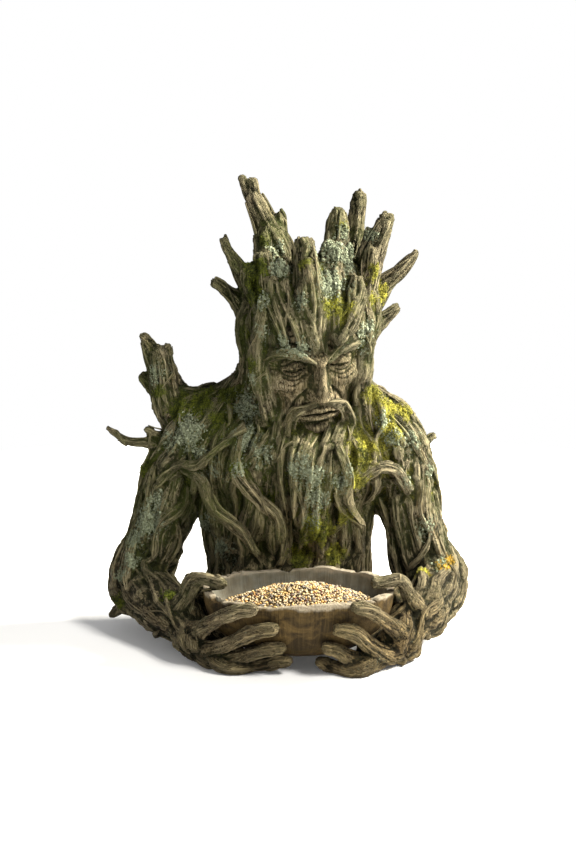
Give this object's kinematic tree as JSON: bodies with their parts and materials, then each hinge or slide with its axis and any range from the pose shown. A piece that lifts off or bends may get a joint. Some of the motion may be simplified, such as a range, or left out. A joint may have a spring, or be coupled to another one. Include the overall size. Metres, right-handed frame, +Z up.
{
  "type": "tree face bird feeder",
  "caption": "Garden bird feeder carved as a gnarled tree-spirit bust with broken-branch crown and root beard, holding a hollow oval bowl in both hands.",
  "frame": {"origin": "on the floor, at the middle of the trunk's flat underside", "axes": "+Z up; the figure faces -Y; +X to the right as seen from the front"},
  "size_m": [0.4711, 0.336, 0.6026],
  "materials": {
    "weathered_wood": "matt weathered grey-brown wood with dark crevices, green algae and warm bare places",
    "bowl_wood": "hollowed grey-taupe wood with tool marks, browner outside",
    "moss": "soft cushion moss, olive to yellow-green",
    "lichen": "pale blue-grey-green crust",
    "bird_seed": "mixed dry seed, tan, cream and near black"
  },
  "bodies": {
    "root": {"tree_figure": "weathered_wood", "bowl": "bowl_wood"}
  },
  "joints": []
}
